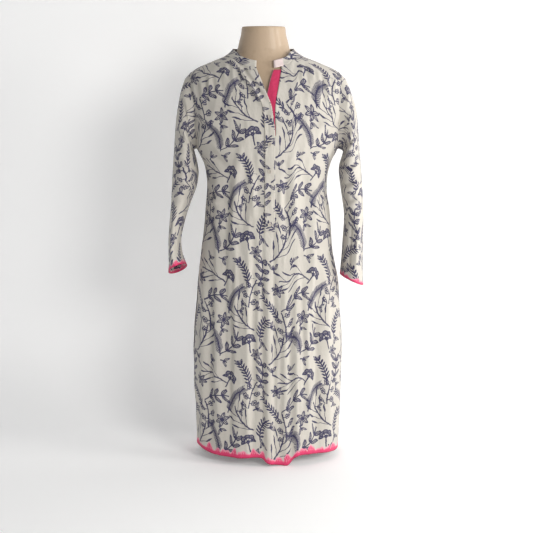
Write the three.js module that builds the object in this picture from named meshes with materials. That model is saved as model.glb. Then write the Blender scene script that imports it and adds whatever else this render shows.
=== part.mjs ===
// Kurta tunic on a limbless dress form, in millimetres. +Z is up, the front faces -Y and the
// wearer's left is +X. The origin is on the floor, under the middle of the whole object.
//
// The tunic is cotton cloth in separate cut pieces: a front slit for its placket, a back, two
// shoulder yokes, a neckband, the two placket bands, two sleeves and the buttons. Every torso
// piece lies on one shared surface, torsoPoint(angle, height), so that neighbours meet at seams.
import * as THREE from 'three';

// ---- driving sizes -------------------------------------------------------------------------
const CLOTH = 1.4;             // wall of a panel
const BAND_CLOTH = 1.2;        // wall of the narrow bands
const SEAM = 0.4;              // gap between pieces that are sewn together
const LAY = 0.6;               // gap under or over a piece that lies on another
const ROUNDNESS = 2.2;         // exponent of the torso's oval sections, 2 is an ellipse

const LIFT = 11;               // how far the worn tunic and the form are raised by the stand
const HEM_Z = 15;              // the hem's level before it is shaped; heights are before LIFT
const HEM_BLEND_Z = 110;       // the hem's shape fades out up to here
const SLIT_TOP_Z = 152;        // top of each side slit
const SLIT_SPREAD = 5;         // how far front and back part at the hem
const UNDERARM_Z = 752;
const SHOULDER_Z = 930;        // top of the armhole
const ARMHOLE_DEPTH = 46;      // half of the armhole, front to back
const YOKE_Z = 912;            // where a yoke seam meets the armhole
const NECKBAND_HEIGHT = 16;
const NECKBAND_LEAN_FRONT = 5; // how far its top edge leans in
const NECKBAND_LEAN_SIDE = 17;
const NECKBAND_LEFT_X = 17;    // its ends, each side of the open front
const NECKBAND_RIGHT_X = -25;
const PLACKET_TOP_Z = 938;
const PLACKET_OPEN_Z = 786;    // the placket is buttoned below this height
const PLACKET_BOTTOM_Z = 562;
const SLIT_GAP = 1;            // the closed part of the front slit
const BUTTON_RADIUS = 4.6;
const BUTTON_THICK = 2;
const BUTTON_DISH = 0.6;       // how deep a button's middle is sunk
const BUTTON_TOP_Z = 831;
const BUTTON_STEP = 63;
const BUTTON_COUNT = 5;
const BUTTON_X = 6.5;

const BASE_RADIUS = 70;
const BASE_THICK = 8;
const STAND_Y = 15;
const POLE_RADIUS = 16;
const FORM_BOTTOM_Z = 330;

// ---- colours -------------------------------------------------------------------------------
const finish = (color, roughness, metalness = 0) =>
  new THREE.MeshStandardMaterial({ color, roughness, metalness });
const printedCotton = () => finish(0xd9d2c4, 0.85);
const pinkCotton = () => finish(0xd23360, 0.8);
const shell = () => finish(0xb8ab9a, 0.35);
const formSkin = () => finish(0xd8c3a2, 0.6);
const standMetal = () => finish(0x3b3b3d, 0.4, 0.8);

// ---- tables --------------------------------------------------------------------------------
// Sections of the tunic's body. centre: sideways shift; half: half width; front, back: depths.
const BODY = [
  { z: 15, centre: 1, half: 176, front: 113, back: 112 },
  { z: 92, centre: 2, half: 179, front: 112, back: 113 },
  { z: 198, centre: 1, half: 182, front: 112, back: 115 },
  { z: 260, centre: 2, half: 184, front: 113, back: 117 },
  { z: 380, centre: 2, half: 175, front: 112, back: 119 },
  { z: 438, centre: 2, half: 171, front: 111, back: 117 },
  { z: 505, centre: 1, half: 160, front: 108, back: 109 },
  { z: 582, centre: 1, half: 152, front: 105, back: 98 },
  { z: 640, centre: 0, half: 146, front: 106, back: 92 },
  { z: 680, centre: 0, half: 146, front: 110, back: 94 },
  { z: 716, centre: 1, half: 153, front: 115, back: 98 },
  { z: 752, centre: 1, half: 170, front: 118, back: 102 },
  { z: 800, centre: 0, half: 179, front: 117, back: 104 },
  { z: 860, centre: -2, half: 185, front: 108, back: 102 },
  { z: 900, centre: -3, half: 187, front: 95, back: 94 },
  { z: 918, centre: -4, half: 184, front: 86, back: 86 },
  { z: 930, centre: -5, half: 176, front: 79, back: 79 },
  { z: 943, centre: -6, half: 155, front: 72, back: 73 },
  { z: 955, centre: -7, half: 128, front: 67, back: 69 },
  { z: 966, centre: -8, half: 100, front: 64, back: 66 },
  { z: 976, centre: -8, half: 78, front: 61, back: 63 },
];

// Sections of the dress form, under the cloth and clear of it.
const FORM = [
  { z: 330, centre: 1, half: 162, front: 103, back: 106 },
  { z: 430, centre: 1, half: 160, front: 103, back: 110 },
  { z: 505, centre: 1, half: 147, front: 97, back: 101 },
  { z: 582, centre: 0, half: 128, front: 86, back: 86 },
  { z: 640, centre: 0, half: 122, front: 86, back: 80 },
  { z: 716, centre: 0, half: 134, front: 100, back: 88 },
  { z: 780, centre: -1, half: 146, front: 108, back: 92 },
  { z: 860, centre: -2, half: 158, front: 98, back: 92 },
  { z: 900, centre: -3, half: 164, front: 86, back: 86 },
  { z: 918, centre: -4, half: 163, front: 78, back: 79 },
  { z: 930, centre: -5, half: 158, front: 72, back: 73 },
  { z: 943, centre: -6, half: 140, front: 66, back: 67 },
  { z: 955, centre: -7, half: 113, front: 61, back: 63 },
  { z: 966, centre: -8, half: 86, front: 58, back: 60 },
  { z: 976, centre: -8, half: 68, front: 56, back: 58 },
  { z: 987, centre: -8, half: 62, front: 54, back: 56 },
  { z: 1003, centre: -8, half: 58, front: 53, back: 54 },
  { z: 1018, centre: -8, half: 54, front: 52, back: 52 },
  { z: 1038, centre: -8, half: 51.5, front: 51, back: 51 },
];

// Height of the front's lower edge: the cloth of the centre fold hangs lowest.
const HEM_FRONT = [
  { x: -170, z: 19 },
  { x: -132, z: 9 },
  { x: -65, z: 8 },
  { x: -14, z: 9 },
  { x: -2, z: -1 },
  { x: 12, z: -6 },
  { x: 34, z: -9 },
  { x: 52, z: -9 },
  { x: 66, z: 8 },
  { x: 80, z: 14 },
  { x: 142, z: 10 },
  { x: 170, z: 7 },
];
const HEM_BACK_Z = 9;

// Height of the neckline's seam, by the angle round from the middle of the front.
const NECKLINE = [
  { turn: 0, z: 941 },
  { turn: 8, z: 944 },
  { turn: 21, z: 952 },
  { turn: 35, z: 962 },
  { turn: 53, z: 967 },
  { turn: 72, z: 970 },
  { turn: 90, z: 971 },
  { turn: 125, z: 971 },
  { turn: 180, z: 971 },
];

// Where a row of points lies on each panel, from hem to neckline.
const ROWS = [15, 60, 105, 152, 205, 260, 315, 370, 420, 470, 515, 560, 600, 640, 680, 716,
  752, 786, 820, 852, 880, 900, 915, 930, 944, 956, 967, 976];
const NECK_BLEND_Z = 880;      // rows above this follow the neckline's curve
const SLIT_ROW = ROWS.indexOf(PLACKET_OPEN_Z);
const SIDE_SEAM_ROWS = ROWS.indexOf(UNDERARM_Z) + 1;

// The front slit: x of the right front's edge that falls open, and of the left front's edge.
const FRONT_SLIT = [
  { z: 15, open: 0, edge: 1 },
  { z: 562, open: 5, edge: 6 },
  { z: 786, open: 19, edge: 20 },
  { z: 831, open: 15, edge: 19 },
  { z: 861, open: 9, edge: 20 },
  { z: 895, open: -5, edge: 26 },
  { z: 918, open: -14, edge: 30 },
  { z: 940, open: -24, edge: 34 },
];

// The printed overlap band lies on the right front: x of its seam and of its free edge.
const OVERLAP = [
  { z: 562, seam: -6, free: 18 },
  { z: 786, seam: -5, free: 18.5 },
  { z: 831, seam: -8, free: 14.5 },
  { z: 865, seam: -14, free: 7 },
  { z: 900, seam: -36, free: -7.5 },
  { z: 940, seam: -62, free: -24.5 },
];

// The pink underlap band lies behind the left front's edge.
const UNDERLAP = [
  { z: 562, seam: 22, free: -4 },
  { z: 786, seam: 25, free: -4 },
  { z: 861, seam: 25, free: -2 },
  { z: 890, seam: 30, free: 2 },
  { z: 923, seam: 35, free: 10 },
  { z: 940, seam: 38, free: 16 },
];

// Largest folds. x at the top and bottom, width and rise of the fold, and its two ends.
const FRONT_FOLDS = [
  { top: 2, bottom: 4, width: 11, rise: 5, low: 15, high: 545 },
  { top: -12, bottom: -12, width: 13, rise: -3, low: 15, high: 520 },
  { top: 26, bottom: 30, width: 15, rise: -3.5, low: 15, high: 560 },
  { top: 66, bottom: 74, width: 17, rise: 3.5, low: 15, high: 470 },
  { top: -58, bottom: -64, width: 20, rise: 3.5, low: 15, high: 480 },
  { top: -96, bottom: -112, width: 18, rise: -3.5, low: 15, high: 520 },
  { top: 104, bottom: 116, width: 18, rise: -3.5, low: 15, high: 540 },
];
const BACK_FOLDS = [
  { top: -70, bottom: -88, width: 24, rise: 4, low: 15, high: 620 },
  { top: -24, bottom: -30, width: 22, rise: -4, low: 15, high: 560 },
  { top: 18, bottom: 24, width: 24, rise: 4.5, low: 15, high: 640 },
  { top: 62, bottom: 78, width: 22, rise: -4, low: 15, high: 580 },
  { top: 104, bottom: 120, width: 20, rise: 4, low: 15, high: 520 },
];

// Sleeve sections: the outer and the inner line, half of the depth and how far the front is up.
const LEFT_SLEEVE = [
  { outX: 187, outZ: 916, inX: 181, inZ: 748, depth: 50, lift: 0 },
  { outX: 199, outZ: 888, inX: 186, inZ: 742, depth: 55, lift: 0 },
  { outX: 212, outZ: 848, inX: 186, inZ: 734, depth: 60, lift: 0 },
  { outX: 218, outZ: 800, inX: 180, inZ: 720, depth: 62, lift: 0 },
  { outX: 223, outZ: 738, inX: 175, inZ: 702, depth: 62, lift: 0 },
  { outX: 229, outZ: 678, inX: 178, inZ: 666, depth: 60, lift: 0 },
  { outX: 232, outZ: 630, inX: 184, inZ: 628, depth: 58, lift: 0 },
  { outX: 234, outZ: 582, inX: 189, inZ: 588, depth: 58, lift: 0 },
  { outX: 233, outZ: 530, inX: 187, inZ: 540, depth: 60, lift: 0 },
  { outX: 233, outZ: 474, inX: 184, inZ: 490, depth: 63, lift: 0 },
  { outX: 236, outZ: 418, inX: 180, inZ: 444, depth: 66, lift: 4 },
];
const RIGHT_SLEEVE = [
  { outX: 195, outZ: 916, inX: 178, inZ: 748, depth: 50, lift: 0 },
  { outX: 204, outZ: 888, inX: 178, inZ: 742, depth: 55, lift: 0 },
  { outX: 213, outZ: 848, inX: 174, inZ: 732, depth: 60, lift: 0 },
  { outX: 219, outZ: 800, inX: 169, inZ: 714, depth: 62, lift: 0 },
  { outX: 224, outZ: 738, inX: 166, inZ: 690, depth: 62, lift: 0 },
  { outX: 228, outZ: 678, inX: 171, inZ: 660, depth: 62, lift: 0 },
  { outX: 231, outZ: 625, inX: 184, inZ: 625, depth: 62, lift: 0 },
  { outX: 235, outZ: 580, inX: 198, inZ: 585, depth: 64, lift: 0 },
  { outX: 238, outZ: 530, inX: 210, inZ: 535, depth: 66, lift: 4 },
  { outX: 239, outZ: 492, inX: 209, inZ: 500, depth: 66, lift: 10 },
  { outX: 241, outZ: 446, inX: 197, inZ: 466, depth: 66, lift: 18 },
];

// Points across each piece.
const FRONT_COLUMNS = 13;      // on each side of the slit
const BACK_COLUMNS = 20;
const SLEEVE_COLUMNS = 18;
const SLEEVE_RINGS = 2;        // rings for each row of a sleeve table
const FORM_COLUMNS = 32;
const FORM_RINGS = 24;
const YOKE_CELLS = 6;
const YOKE_EASE = 0.7;         // keeps its edges a seam away from the panels
const NECKBAND_COLUMNS = 36;
const BUTTON_SIDES = 20;

// ---- helpers -------------------------------------------------------------------------------
const lerp = (a, b, t) => a + (b - a) * t;
const smooth = (low, high, x) => {
  const t = Math.min(1, Math.max(0, (x - low) / (high - low)));
  return t * t * (3 - 2 * t);
};

// A smooth curve through one column of a table, at any value of its key column.
function column(table, key, name, at) {
  const last = table.length - 1;
  if (at <= table[0][key]) return table[0][name];
  if (at >= table[last][key]) return table[last][name];
  const i = table.findIndex((row) => row[key] > at) - 1;
  const before = table[Math.max(0, i - 1)];
  const after = table[Math.min(last, i + 2)];
  const a = table[i];
  const b = table[i + 1];
  const span = b[key] - a[key];
  const t = (at - a[key]) / span;
  const slopeA = (b[name] - before[name]) / (b[key] - before[key]) * span;
  const slopeB = (after[name] - a[name]) / (after[key] - a[key]) * span;
  const t2 = t * t;
  const t3 = t2 * t;
  return a[name] * (2 * t3 - 3 * t2 + 1) + slopeA * (t3 - 2 * t2 + t)
    + b[name] * (3 * t2 - 2 * t3) + slopeB * (t3 - t2);
}

const power = (value, exponent) => Math.sign(value) * Math.abs(value) ** exponent;

// A point of an oval section. Angle 0 is the middle of the front and 90 degrees is +X.
function ovalPoint(table, angle, z) {
  const depth = Math.cos(angle) > 0 ? 'front' : 'back';
  const half = column(table, 'z', 'half', z);
  const x = column(table, 'z', 'centre', z) + half * power(Math.sin(angle), 2 / ROUNDNESS);
  const y = -column(table, 'z', depth, z) * power(Math.cos(angle), 2 / ROUNDNESS);
  return new THREE.Vector3(x, y, z);
}

// How far the folds of a table move the cloth out, at x and z.
function foldRise(folds, x, z) {
  let rise = 0;
  for (const fold of folds) {
    const middle = lerp(fold.bottom, fold.top, (z - fold.low) / (fold.high - fold.low));
    const reach = Math.exp(-(((x - middle) / fold.width) ** 2));
    rise += fold.rise * reach * (1 - smooth(lerp(fold.low, fold.high, 0.6), fold.high, z));
  }
  return rise;
}

// A point of the tunic's torso surface, with its folds, moved out by a distance.
function torsoPoint(angle, z, out = 0) {
  const point = ovalPoint(BODY, angle, z);
  const folds = Math.cos(angle) > 0 ? FRONT_FOLDS : BACK_FOLDS;
  const calm = smooth(0, 0.25, Math.abs(Math.cos(angle)));
  const move = out + calm * foldRise(folds, point.x, z);
  point.x += move * Math.sin(angle);
  point.y -= move * Math.cos(angle);
  return point;
}

// The angle on the front at which the torso surface has this x.
function angleAtX(x, z) {
  const share = (x - column(BODY, 'z', 'centre', z)) / column(BODY, 'z', 'half', z);
  return Math.asin(power(Math.max(-1, Math.min(1, share)), ROUNDNESS / 2));
}

// Half of the armhole's opening, front to back, at a height.
function armholeY(z) {
  const middle = (UNDERARM_Z + SHOULDER_Z) / 2;
  const share = (z - middle) / ((SHOULDER_Z - UNDERARM_Z) / 2);
  return ARMHOLE_DEPTH * Math.sqrt(Math.max(0, 1 - share * share));
}

// The angle, from the middle of the front or back, at which a panel ends at a height.
function panelEnd(depth, z) {
  if (z <= UNDERARM_Z) return Math.PI / 2;
  const at = Math.min(z, YOKE_Z);
  return Math.acos((armholeY(at) / column(BODY, 'z', depth, at)) ** (ROUNDNESS / 2));
}

// The neckline's height, going round from the middle of the front.
function neckZ(angle) {
  return column(NECKLINE, 'turn', 'z', THREE.MathUtils.radToDeg(Math.acos(Math.cos(angle))));
}

// The height of a row at an angle: rows near the neck bend to follow the neckline.
function rowZ(row, angle) {
  const z = ROWS[row];
  if (z <= NECK_BLEND_Z) return z;
  const share = (z - NECK_BLEND_Z) / (ROWS[ROWS.length - 1] - NECK_BLEND_Z);
  return lerp(NECK_BLEND_Z, neckZ(angle), share);
}

// The shaped hem: the lowest rows follow the hem's own heights.
function hang(point, facing) {
  const edge = facing < 0 ? column(HEM_FRONT, 'x', 'z', point.x) : HEM_BACK_Z;
  point.z += (edge - HEM_Z) * (1 - smooth(HEM_Z, HEM_BLEND_Z, point.z));
  return point;
}

// Front and back part below the top of the side slits, and keep a seam's gap above it.
function partSides(point, angle, facing) {
  const side = Math.abs(Math.sin(angle)) ** 6;
  const spread = SLIT_SPREAD * (1 - smooth(HEM_Z, SLIT_TOP_Z, point.z)) * side;
  point.y += facing * (SEAM / 2 + spread);
  return point;
}

// A cloth wall on a grid of points, which run to the right and then up, seen from outside. The
// end columns of the first squareRows rows face straight sideways, so that side seams stay apart.
function clothWall(grid, wall, { wrap = false, flip = false, keep = () => true, squareRows = 0 } = {}) {
  const rows = grid.length;
  const columns = grid[0].length;
  const cells = [];
  for (let i = 0; i < rows - 1; i++) {
    for (let j = 0; j < columns - (wrap ? 0 : 1); j++) {
      const next = (j + 1) % columns;
      const cell = [[i, j], [i, next], [i + 1, next], [i + 1, j]];
      if (keep(i, j)) cells.push(flip ? cell.reverse() : cell);
    }
  }
  const key = ([i, j]) => i * columns + j;
  const normals = new Map();
  const across = new THREE.Vector3();
  const along = new THREE.Vector3();
  for (const cell of cells) {
    const [a, b, c, d] = cell.map(([i, j]) => grid[i][j]);
    across.subVectors(c, a);
    along.subVectors(d, b);
    const normal = new THREE.Vector3().crossVectors(across, along).normalize();
    for (const corner of cell) {
      if (!normals.has(key(corner))) normals.set(key(corner), new THREE.Vector3());
      normals.get(key(corner)).add(normal);
    }
  }
  for (let i = 0; i < squareRows; i++) {
    normals.get(key([i, 0])).y = 0;
    normals.get(key([i, columns - 1])).y = 0;
  }
  const order = new Map([...normals.keys()].map((name, index) => [name, index]));
  const count = order.size;
  const positions = new Float32Array(count * 6);
  for (const [name, index] of order) {
    const outer = grid[Math.floor(name / columns)][name % columns];
    const inner = outer.clone().addScaledVector(normals.get(name).normalize(), -wall);
    outer.toArray(positions, index * 3);
    inner.toArray(positions, (count + index) * 3);
  }
  const edges = new Set();
  const faces = [];
  for (const cell of cells) {
    const [a, b, c, d] = cell.map((corner) => order.get(key(corner)));
    faces.push(a, b, c, a, c, d);
    faces.push(count + a, count + c, count + b, count + a, count + d, count + c);
    for (const edge of [[a, b], [b, c], [c, d], [d, a]]) edges.add(edge.join());
  }
  for (const edge of edges) {
    const [p, q] = edge.split(',').map(Number);
    if (!edges.has([q, p].join())) faces.push(q, p, count + p, q, count + p, count + q);
  }
  const geometry = new THREE.BufferGeometry();
  geometry.setAttribute('position', new THREE.BufferAttribute(positions, 3));
  geometry.setIndex(faces);
  return geometry;
}

const steps = (count, make) => Array.from({ length: count + 1 }, (_, i) => make(i / count, i));

// ---- torso pieces --------------------------------------------------------------------------
function frontPanel() {
  const grid = ROWS.map((_, row) => {
    const columnAt = (share, side) => {
      const name = side < 0 ? 'open' : 'edge';
      let angle = 0;
      for (let pass = 0; pass < 4; pass++) {
        const z = rowZ(row, angle);
        const slit = angleAtX(column(FRONT_SLIT, 'z', name, z), z);
        angle = side < 0 ? lerp(-panelEnd('front', z), slit, share)
          : lerp(slit, panelEnd('front', z), share);
      }
      return hang(partSides(torsoPoint(angle, rowZ(row, angle)), angle, -1), -1);
    };
    return [...steps(FRONT_COLUMNS, (share) => columnAt(share, -1)),
      ...steps(FRONT_COLUMNS, (share) => columnAt(share, 1))];
  });
  return clothWall(grid, CLOTH, {
    keep: (i, j) => j !== FRONT_COLUMNS || i < SLIT_ROW,
    squareRows: SIDE_SEAM_ROWS,
  });
}

function backPanel() {
  const grid = ROWS.map((_, row) => steps(BACK_COLUMNS, (share) => {
    let turn = 0;
    for (let pass = 0; pass < 4; pass++) {
      const end = panelEnd('back', rowZ(row, Math.PI + turn));
      turn = lerp(-end, end, share);
    }
    const angle = Math.PI + turn;
    return hang(partSides(torsoPoint(angle, rowZ(row, angle)), angle, 1), 1);
  }));
  return clothWall(grid, CLOTH, { squareRows: SIDE_SEAM_ROWS });
}

// A strip over the shoulder, between the front and back seams, from the armhole to the neck.
function yoke(side) {
  const start = panelEnd('front', YOKE_Z);
  const end = Math.PI - panelEnd('back', YOKE_Z);
  const armholeZ = (angle) => {
    let low = YOKE_Z;
    let high = SHOULDER_Z;
    for (let pass = 0; pass < 30; pass++) {
      const z = (low + high) / 2;
      const depth = angle < Math.PI / 2 ? 'front' : 'back';
      const y = column(BODY, 'z', depth, z) * power(Math.abs(Math.cos(angle)), 2 / ROUNDNESS);
      if (y < armholeY(z)) low = z;
      else high = z;
    }
    return (low + high) / 2;
  };
  const grid = steps(YOKE_CELLS, (up) => steps(YOKE_CELLS, (round) => {
    const angle = lerp(start, end, round);
    const z = lerp(armholeZ(angle), neckZ(angle), up);
    const point = torsoPoint(side * angle, z);
    point.y += lerp(YOKE_EASE, -YOKE_EASE, round);
    return point;
  }));
  return clothWall(grid, CLOTH, { flip: side < 0 });
}

// The stand band runs from the left front's end round the back to the right front's end.
function neckband() {
  const leftEnd = angleAtX(NECKBAND_LEFT_X, NECKLINE[0].z);
  const rightEnd = angleAtX(NECKBAND_RIGHT_X, NECKLINE[0].z);
  const bottom = steps(NECKBAND_COLUMNS, (share) => {
    const angle = lerp(leftEnd, 2 * Math.PI + rightEnd, share);
    const point = torsoPoint(angle, neckZ(angle));
    point.z += SEAM;
    const lean = lerp(NECKBAND_LEAN_FRONT, NECKBAND_LEAN_SIDE, Math.sin(angle) ** 2);
    const inward = new THREE.Vector3(-Math.sin(angle), Math.cos(angle), 0);
    return { point, inward: inward.multiplyScalar(lean) };
  });
  const grid = steps(2, (up) => bottom.map(({ point, inward }) => {
    const place = point.clone().addScaledVector(inward, up);
    place.z += NECKBAND_HEIGHT * up;
    return place;
  }));
  return clothWall(grid, BAND_CLOTH);
}

// A band along the placket: between two edges of a table, in front of or behind the front.
function placketBand(table, from, to, out) {
  const heights = ROWS.filter((z) => z > PLACKET_BOTTOM_Z && z < PLACKET_TOP_Z - 5);
  const grid = [PLACKET_BOTTOM_Z, ...heights, PLACKET_TOP_Z].map((z) => steps(3, (share) => {
    const x = lerp(column(table, 'z', from, z), column(table, 'z', to, z), share);
    const top = Math.min(z, neckZ(angleAtX(x, z)) - 1);
    return torsoPoint(angleAtX(x, top), top, out);
  }));
  return clothWall(grid, BAND_CLOTH);
}

// ---- sleeves -------------------------------------------------------------------------------
// A hollow sleeve from the armhole, whose rings turn from upright there to level at the cuff.
function sleeve(table, side) {
  const turns = Array.from({ length: SLEEVE_COLUMNS }, (_, j) => 2 * Math.PI * j / SLEEVE_COLUMNS);
  const middleZ = (UNDERARM_Z + SHOULDER_Z) / 2;
  const armhole = turns.map((turn) => {
    const z = middleZ + (SHOULDER_Z - UNDERARM_Z) / 2 * Math.cos(turn);
    const y = -ARMHOLE_DEPTH * Math.sin(turn);
    const depth = column(BODY, 'z', y < 0 ? 'front' : 'back', z);
    const share = (1 - (Math.abs(y) / depth) ** ROUNDNESS) ** (1 / ROUNDNESS);
    const x = column(BODY, 'z', 'half', z) * share + 3 * SEAM;
    return new THREE.Vector3(column(BODY, 'z', 'centre', z) + side * x, y, z);
  });
  const rows = table.map((row, i) => ({ ...row, at: i }));
  const rings = steps((table.length - 1) * SLEEVE_RINGS, (share) => {
    const at = share * (table.length - 1);
    const value = (name) => column(rows, 'at', name, at);
    return turns.map((turn) => {
      const across = (1 + Math.cos(turn)) / 2;
      const x = lerp(value('inX'), value('outX'), across);
      const z = lerp(value('inZ'), value('outZ'), across) + value('lift') * Math.sin(turn);
      return new THREE.Vector3(side * x, -value('depth') * Math.sin(turn), z);
    });
  });
  return clothWall([armhole, ...rings], CLOTH, { wrap: true, flip: side < 0 });
}

// ---- buttons, dress form and stand ---------------------------------------------------------
function button(z) {
  const rim = 0.5;
  const profile = [[0, 0], [BUTTON_RADIUS - rim, 0], [BUTTON_RADIUS, rim],
    [BUTTON_RADIUS, BUTTON_THICK - rim], [BUTTON_RADIUS - rim, BUTTON_THICK],
    [BUTTON_RADIUS - 3 * rim, BUTTON_THICK - BUTTON_DISH], [0, BUTTON_THICK - BUTTON_DISH],
  ].map(([r, height]) => new THREE.Vector2(r, height));
  const mesh = new THREE.Mesh(new THREE.LatheGeometry(profile, BUTTON_SIDES), shell());
  const seat = torsoPoint(angleAtX(BUTTON_X, z), z, LAY + BAND_CLOTH + 2 * SEAM);
  mesh.rotation.x = Math.PI;
  mesh.position.set(seat.x, seat.y, z);
  return mesh;
}

// A solid on rings of a table, closed by a flat bottom and a flat top.
function ovalSolid(table, rings, columns) {
  const positions = [];
  const faces = [];
  const levels = steps(rings, (share) => lerp(table[0].z, table[table.length - 1].z, share));
  for (const z of levels) {
    for (let j = 0; j < columns; j++) positions.push(...ovalPoint(table, 2 * Math.PI * j / columns, z));
  }
  const bottom = positions.length / 3;
  positions.push(table[0].centre, 0, table[0].z);
  positions.push(table[table.length - 1].centre, 0, table[table.length - 1].z);
  for (let j = 0; j < columns; j++) {
    const next = (j + 1) % columns;
    for (let i = 0; i < rings; i++) {
      const a = i * columns + j;
      const b = i * columns + next;
      faces.push(a, b, b + columns, a, b + columns, a + columns);
    }
    faces.push(bottom, next, j);
    faces.push(bottom + 1, rings * columns + j, rings * columns + next);
  }
  const geometry = new THREE.BufferGeometry();
  geometry.setAttribute('position', new THREE.Float32BufferAttribute(positions, 3));
  geometry.setIndex(faces);
  return geometry;
}

function basePlate() {
  const edge = 2;
  const profile = [[0, 0], [BASE_RADIUS, 0], [BASE_RADIUS, BASE_THICK - edge],
    [BASE_RADIUS - edge, BASE_THICK], [0, BASE_THICK]].map(([r, z]) => new THREE.Vector2(r, z));
  return new THREE.LatheGeometry(profile, 64).rotateX(Math.PI / 2);
}

function pole() {
  const length = FORM_BOTTOM_Z + LIFT - BASE_THICK - 2 * SEAM;
  return new THREE.CylinderGeometry(POLE_RADIUS, POLE_RADIUS, length, 32).rotateX(Math.PI / 2);
}

// ---- the object ----------------------------------------------------------------------------
const group = new THREE.Group();
const raised = new THREE.Group();
raised.position.z = LIFT;
group.add(raised);

function add(parent, name, geometry, material, place = [0, 0, 0]) {
  const mesh = new THREE.Mesh(geometry, material);
  mesh.name = name;
  mesh.position.set(...place);
  parent.add(mesh);
}

add(raised, 'front', frontPanel(), printedCotton());
add(raised, 'back', backPanel(), printedCotton());
add(raised, 'yoke_left', yoke(1), printedCotton());
add(raised, 'yoke_right', yoke(-1), printedCotton());
add(raised, 'neckband', neckband(), printedCotton());
const overlap = placketBand(OVERLAP, 'seam', 'free', LAY + BAND_CLOTH);
add(raised, 'placket_overlap', overlap, printedCotton());
const underlap = placketBand(UNDERLAP, 'free', 'seam', -CLOTH - LAY);
add(raised, 'placket_underlap', underlap, pinkCotton());
add(raised, 'sleeve_left', sleeve(LEFT_SLEEVE, 1), printedCotton());
add(raised, 'sleeve_right', sleeve(RIGHT_SLEEVE, -1), printedCotton());
for (let i = 0; i < BUTTON_COUNT; i++) {
  const mesh = button(BUTTON_TOP_Z - i * BUTTON_STEP);
  mesh.name = `button_${i + 1}`;
  raised.add(mesh);
}
add(raised, 'form_torso', ovalSolid(FORM, FORM_RINGS, FORM_COLUMNS), formSkin());
const poleMiddle = (BASE_THICK + FORM_BOTTOM_Z + LIFT) / 2;
add(group, 'form_pole', pole(), standMetal(), [0, STAND_Y, poleMiddle]);
add(group, 'form_base', basePlate(), standMetal(), [0, STAND_Y, 0]);

// The origin goes under the middle of the whole object.
const middle = new THREE.Box3().setFromObject(group).getCenter(new THREE.Vector3());
group.position.set(-middle.x, -middle.y, 0);

export default group;
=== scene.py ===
# %% [markdown]
# # A printed cotton kurta on a dress form
# The tunic is cut from a few flat pieces of thin cotton: front, back, two shoulder yokes, a
# neckband, two placket bands and two sleeves. Each piece becomes one thin cloth shell, and all
# torso pieces lie on one shared surface, so their edges meet at the seams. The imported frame
# gives the places and the sizes, and every new piece rides on it.

# %% Load the frame
import math

import bmesh
import bpy
from mathutils import Matrix, Vector
from mathutils import noise as perlin


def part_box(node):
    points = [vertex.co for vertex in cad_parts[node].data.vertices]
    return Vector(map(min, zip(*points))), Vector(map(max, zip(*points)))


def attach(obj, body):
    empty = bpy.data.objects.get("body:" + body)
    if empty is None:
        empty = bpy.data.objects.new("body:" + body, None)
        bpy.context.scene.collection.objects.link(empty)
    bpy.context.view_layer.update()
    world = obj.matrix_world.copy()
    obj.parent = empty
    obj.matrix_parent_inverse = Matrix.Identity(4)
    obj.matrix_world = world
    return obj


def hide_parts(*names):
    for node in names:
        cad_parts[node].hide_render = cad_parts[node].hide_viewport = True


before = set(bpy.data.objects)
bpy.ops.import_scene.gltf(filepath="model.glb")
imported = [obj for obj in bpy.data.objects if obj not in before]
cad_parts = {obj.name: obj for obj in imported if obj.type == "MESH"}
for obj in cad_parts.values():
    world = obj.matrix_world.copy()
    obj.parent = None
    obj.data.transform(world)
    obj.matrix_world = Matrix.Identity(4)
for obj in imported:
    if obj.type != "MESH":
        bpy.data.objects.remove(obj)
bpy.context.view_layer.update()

base_low, base_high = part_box("form_base")
MM = 0.001
STAND_Y = 15
LIFT = 11                      # the stand holds the worn tunic this far up
SHIFT = Vector(((base_low.x + base_high.x) / 2,
                (base_low.y + base_high.y) / 2 - STAND_Y * MM, LIFT * MM))

# %% [markdown]
# ## The camera, the floor and the light
# A garment is best seen from a few metres away through a long lens, so that its shape isn't
# stretched. The camera stands a little below the neck and looks down slightly. One big soft
# light from the right front makes the shadow, and one from the side models the folds.
# Floor and wall are one bent sheet, so no line shows behind the object. The wall stands close
# behind it, to catch the soft shadow on the left, and it only shows from its front: seen from
# behind it is clear, so the tunic's back can be looked at too.

# %% Camera
VIEW_DISTANCE = 2.75
CAMERA_HEIGHT = 0.941
AIM_HEIGHT = 0.473
FRAME_WIDTH = 1.2895           # metres across the view, at the object
aim = Vector((SHIFT.x - 0.001, 0, AIM_HEIGHT))
camera_data = bpy.data.cameras.new("camera")
camera_data.lens = camera_data.sensor_width * VIEW_DISTANCE / FRAME_WIDTH
camera = bpy.data.objects.new("camera", camera_data)
camera.location = Vector((aim.x, -VIEW_DISTANCE, CAMERA_HEIGHT))
camera.rotation_euler = (aim - camera.location).to_track_quat("-Z", "Y").to_euler()
bpy.context.collection.objects.link(camera)
bpy.context.scene.camera = camera
bpy.context.scene.view_settings.view_transform = "Standard"
print("lens", round(camera_data.lens, 1), "mm")

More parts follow.
